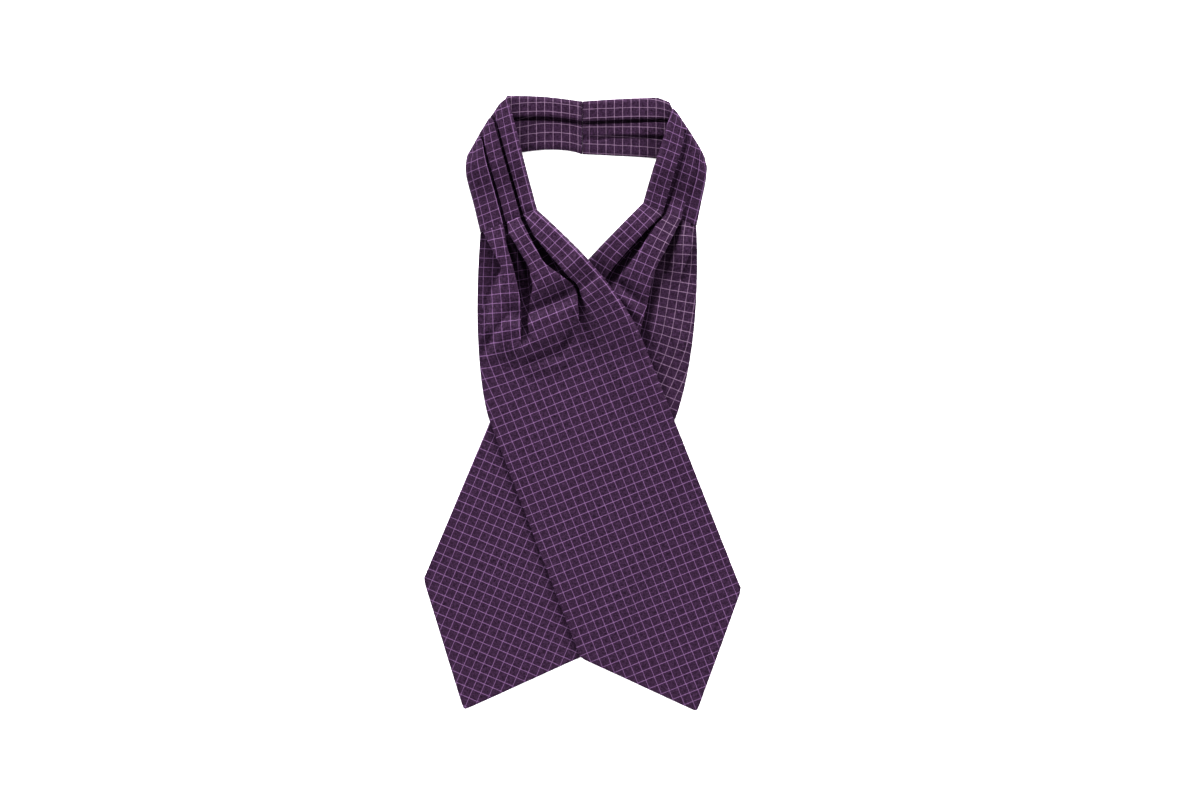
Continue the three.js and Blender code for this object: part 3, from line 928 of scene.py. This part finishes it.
def check_lines(nodes, threads, axes):
    """How much of a check line is at each place, from 0 to 1, with a slight wobble."""
    noise = nodes.noise(threads, WOBBLE_SCALE, 1)
    wobble = nodes.math("MULTIPLY_ADD", noise, LINE_WOBBLE * 2, -LINE_WOBBLE)
    lines = []
    for axis, pitch, strength in ((0, CHECK_ACROSS, LENGTHWISE_LINE), (1, CHECK_ALONG, CROSSWISE_LINE)):
        moved = nodes.math("DIVIDE", nodes.math("ADD", axes[axis], wobble), pitch)
        away = nodes.math("MULTIPLY", nodes.math("PINGPONG", moved, 0.5), pitch)
        line = nodes.fade(away, LINE_HALF + LINE_SOFT, LINE_HALF - LINE_SOFT)
        lines.append(nodes.math("MULTIPLY", line, strength))
    return nodes.math("MINIMUM", nodes.math("ADD", *lines), 1.0)


def silk_grain(nodes, threads, axes):
    """The weave, with slubs along both threads and a fine speckle."""
    waves = [nodes.math("SINE", nodes.math("MULTIPLY", axis, 2 * math.pi / WEAVE)) for axis in axes[:2]]
    weave = nodes.math("MULTIPLY", *waves)
    slubs = []
    for stretch in ((1 / SLUB[0], 1 / SLUB[1], 0), (1 / SLUB[1], 1 / SLUB[0], 0)):
        drawn = nodes.add("ShaderNodeVectorMath", {0: threads, 1: stretch}, operation="MULTIPLY").outputs[0]
        slubs.append(nodes.fade(nodes.noise(drawn, 1, 1), *SLUB_FADE))
    speckle = nodes.fade(nodes.noise(threads, 1 / SPECKLE, 2), *SPECKLE_FADE)
    speckle = nodes.math("MULTIPLY", speckle, SPECKLE_SHARE)
    uneven = nodes.math("MULTIPLY_ADD", nodes.math("ADD", *slubs), SLUB_SHARE, speckle)
    return nodes.math("MULTIPLY_ADD", weave, WEAVE_SHARE, uneven)


def silk_material():
    """Dark purple silk with a fine woven speckle and a lilac windowpane check along its threads."""
    material = bpy.data.materials.new("silk")
    material.use_nodes = True
    nodes = Nodes(material)
    shader = material.node_tree.nodes["Principled BSDF"]
    threads = nodes.add("ShaderNodeAttribute", attribute_name=THREADS).outputs["Vector"]
    axes = nodes.add("ShaderNodeSeparateXYZ", {"Vector": threads}).outputs
    check = check_lines(nodes, threads, axes)
    grain = silk_grain(nodes, threads, axes)
    patches = nodes.fade(nodes.noise(threads, 1 / PATCH, 2), *PATCH_FADE)
    ground = nodes.mix_colour(grain, linear(GROUND_DARK), linear(GROUND_LIGHT))
    ground = nodes.mix_colour(nodes.math("MULTIPLY", patches, PATCH_SHARE), ground, linear(GROUND_WARM))
    broken = nodes.math("MULTIPLY", check, nodes.math("MULTIPLY_ADD", grain, LINE_GRAIN, LINE_LEAST))
    pale = nodes.math("MULTIPLY", axes[2], PALE_SHARE)
    line_colour = nodes.mix_colour(pale, linear(LINE_COLOUR), linear(PALE_LINE))
    nodes.set(shader.inputs["Base Color"], nodes.mix_colour(broken, ground, line_colour))
    roughness = nodes.math("MULTIPLY_ADD", grain, GRAIN_SMOOTHING, ROUGHNESS)
    nodes.set(shader.inputs["Roughness"], roughness)
    shader.inputs["Specular IOR Level"].default_value = SILK_SPECULAR
    relief = nodes.math("ADD", *(nodes.math("MULTIPLY", part, RELIEF_SHARE) for part in (grain, check)))
    bump = nodes.add("ShaderNodeBump",
                     {"Height": relief, "Strength": BUMP_STRENGTH, "Distance": BUMP_DEPTH * MM})
    nodes.set(shader.inputs["Normal"], bump.outputs["Normal"])
    return material


def paper_material():
    """The pale floor."""
    material = bpy.data.materials.new("paper")
    material.use_nodes = True
    shader = material.node_tree.nodes["Principled BSDF"]
    shader.inputs["Base Color"].default_value = PAPER_COLOUR
    shader.inputs["Roughness"].default_value = PAPER_ROUGHNESS
    shader.inputs["Specular IOR Level"].default_value = PAPER_SPECULAR
    return material


def photo_place(pixel_x, pixel_y):
    """Where a pixel of the photograph lies on the floor, in metres."""
    return ((pixel_x - MIDDLE_PIXEL[0]) * PIXEL * MM, (MIDDLE_PIXEL[1] - pixel_y) * PIXEL * MM)


def make_camera():
    """A camera that looks straight down and takes in the photograph's frame."""
    data = bpy.data.cameras.new("camera")
    data.sensor_width = SENSOR_MM
    data.lens = SENSOR_MM * CAMERA_HEIGHT / (FRAME_PIXELS[0] * PIXEL * MM)
    camera = bpy.data.objects.new("camera", data)
    camera.location = (*photo_place(FRAME_PIXELS[0] / 2, FRAME_PIXELS[1] / 2), CAMERA_HEIGHT)
    bpy.context.scene.collection.objects.link(camera)
    bpy.context.scene.camera = camera


def make_floor():
    """A sheet of paper just below the cravat."""
    signs = [(-1, -1), (1, -1), (1, 1), (-1, 1)]
    mesh = bpy.data.meshes.new("floor")
    mesh.from_pydata([(x * FLOOR_HALF, y * FLOOR_HALF, FLOOR_Z) for x, y in signs], [], [(0, 1, 2, 3)])
    mesh.materials.append(paper_material())
    floor = bpy.data.objects.new("floor", mesh)
    bpy.context.scene.collection.objects.link(floor)


def make_key_light():
    """One soft lamp beyond the nape, turned to the cravat."""
    data = bpy.data.lights.new("key", "AREA")
    data.size = KEY_SIZE
    data.energy = KEY_WATTS
    light = bpy.data.objects.new("key", data)
    light.location = KEY_PLACE
    light.rotation_euler = (-light.location).to_track_quat("-Z", "Y").to_euler()
    bpy.context.scene.collection.objects.link(light)


def make_world():
    """A ring of white light low round the scene, brighter towards +Y."""
    world = bpy.data.worlds.new("studio")
    world.use_nodes = True
    background = world.node_tree.nodes["Background"]
    background.inputs["Color"].default_value = (1, 1, 1, 1)
    nodes = Nodes(world)
    direction = nodes.add("ShaderNodeTexCoord").outputs["Generated"]
    axes = nodes.add("ShaderNodeSeparateXYZ", {"Vector": direction}).outputs
    ring = nodes.math("MULTIPLY", nodes.fade(axes["Z"], *RING_FOOT), nodes.fade(axes["Z"], *RING_TOP))
    leaning = nodes.math("MULTIPLY_ADD", axes["Y"], RING * RING_LEAN, RING)
    nodes.set(background.inputs["Strength"], nodes.math("MULTIPLY", ring, leaning))
    bpy.context.scene.world = world
    bpy.context.scene.view_settings.view_transform = "Standard"
    bpy.context.scene.view_settings.look = "High Contrast"


def no_pale(places):
    """Lines of the check in their usual lilac."""
    return np.zeros(len(places))


def all_pale(places):
    """Paler lines all over, as at the nape."""
    return np.ones(len(places))


def pale_right(places):
    """The check's lines are paler at the right of the blade that lies underneath."""
    return ease(places[:, 0], *PALE_X) * ease(places[:, 1], *PALE_Y)


def make_piece(name, grid, silk, pale, flat, area, rests_on):
    """One stretch of the cravat in place of its solid, sewn to the next along its first row."""
    piece = wall_object(name + "_silk", *grid, pale)
    piece.data.materials.append(silk)
    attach(piece, "root")
    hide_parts(name)


make_camera()
make_floor()
make_key_light()
make_world()
silk = silk_material()
over_cloth = blade_cloth(OVER, OVER_PLEATS, OVER_STRIP, OVER_CREASES, False)
under_cloth = blade_cloth(UNDER, UNDER_PLEATS, UNDER_STRIP, UNDER_CREASES, True, UNDER_GORE)
PIECES = [
    ("under_blade", blade_grid(under_cloth, no_lift), pale_right),
    ("over_blade", blade_grid(over_cloth, lift_over(under_cloth)), no_pale),
    ("over_band", band_grid(OVER_BAND, OVER, LEFT_NAPE, strip_starts(over_cloth)), no_pale),
    ("under_band", band_grid(UNDER_BAND, UNDER, RIGHT_NAPE, strip_starts(under_cloth)), no_pale),
    ("left_nape", nape_grid(LEFT_NAPE), all_pale),
    ("right_nape", nape_grid(RIGHT_NAPE), all_pale),
]
for name, grid, pale in PIECES:
    make_piece(name, grid, silk, pale, **SHEETS[name])
